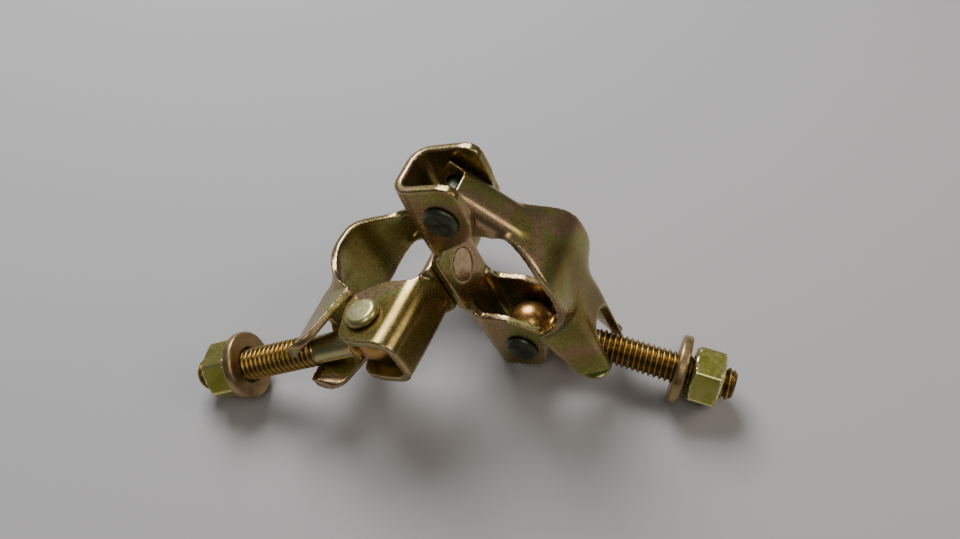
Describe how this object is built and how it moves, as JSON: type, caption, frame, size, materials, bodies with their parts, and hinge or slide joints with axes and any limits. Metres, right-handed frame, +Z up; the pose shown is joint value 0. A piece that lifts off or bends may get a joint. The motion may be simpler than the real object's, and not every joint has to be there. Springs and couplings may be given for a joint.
{
  "type": "scaffold coupler",
  "caption": "Fixed right-angle scaffold coupler: back-to-back pressed steel bases, hinged caps with forked lips, and swing-out eye bolts with washers and hex nuts.",
  "frame": {"origin": "centre of the bounding box in plan, on the surface that the coupler lies on", "axes": "+Z up, +X along the longest extent, from the left clamp's bolt tip towards the right clamp's bolt tip; the right clamp's tube runs along Y"},
  "size_m": [0.203, 0.1166, 0.098],
  "materials": {
    "pressed_plate": "zinc plated pressed steel with a yellow iridescent chromate, satin to glossy",
    "dark_rivet": "plated steel, peened, dull grey-green",
    "plated_rivet": "yellow chromate zinc, smooth factory head",
    "eye_bolt": "plated forged steel, coppery gold threads and a greyer shank",
    "washer": "bronze-brown chromate zinc, satin",
    "nut": "bright yellow-green chromate zinc"
  },
  "bodies": {
    "bases": {"base_right": "pressed_plate", "base_left": "pressed_plate", "hinge_rivet_right": "dark_rivet", "bolt_rivet_right": "dark_rivet", "hinge_rivet_left": "dark_rivet", "bolt_rivet_left": "plated_rivet", "centre_rivet": "dark_rivet"},
    "cap_right": {"cap_right": "pressed_plate"},
    "bolt_right": {"eye_bolt_right": "eye_bolt"},
    "washer_right": {"washer_right": "washer"},
    "nut_right": {"nut_right": "nut"},
    "cap_left": {"cap_left": "pressed_plate"},
    "bolt_left": {"eye_bolt_left": "eye_bolt"},
    "washer_left": {"washer_left": "washer"},
    "nut_left": {"nut_left": "nut"}
  },
  "joints": [
    {"name": "cap_right_hinge", "type": "hinge", "parent": "bases", "child": "cap_right", "pos_m": [-0.00722, 0.00895, 0.08244], "axis": [0, -1, 0], "range_deg": [-2, 114]},
    {"name": "bolt_right_swing", "type": "hinge", "parent": "bases", "child": "bolt_right", "pos_m": [0.02039, 0.00895, 0.01733], "axis": [0, 1, 0], "range_deg": [-25, 84]},
    {"name": "washer_right_slide", "type": "slide", "parent": "bolt_right", "child": "washer_right", "axis": [0.998, 0, -0.0628], "range_m": [-0.02, 0.005]},
    {"name": "nut_right_spin", "type": "hinge", "parent": "washer_right", "child": "nut_right", "pos_m": [0.02039, 0.00895, 0.01733], "axis": [0.998, 0, -0.0628], "range_deg": [-3400, 850]},
    {"name": "cap_left_hinge", "type": "hinge", "parent": "bases", "child": "cap_left", "pos_m": [-0.02576, 0.04395, 0.03746], "axis": [0.3681, 0, -0.9298], "range_deg": [0, 115]},
    {"name": "bolt_left_swing", "type": "hinge", "parent": "bases", "child": "bolt_left", "pos_m": [-0.02734, -0.02675, 0.03683], "axis": [-0.3681, 0, 0.9298], "range_deg": [-17, 93]},
    {"name": "washer_left_slide", "type": "slide", "parent": "bolt_left", "child": "washer_left", "axis": [-0.8891, -0.2924, -0.352], "range_m": [-0.02, 0.007]},
    {"name": "nut_left_spin", "type": "hinge", "parent": "washer_left", "child": "nut_left", "pos_m": [-0.02734, -0.02675, 0.03683], "axis": [-0.8891, -0.2924, -0.352], "range_deg": [-3400, 1180]}
  ],
  "couplings": [
    {"joint": "washer_right_slide", "follows": "nut_right_spin", "m_per_rad": 0.00033688},
    {"joint": "washer_left_slide", "follows": "nut_left_spin", "m_per_rad": 0.00033688}
  ]
}
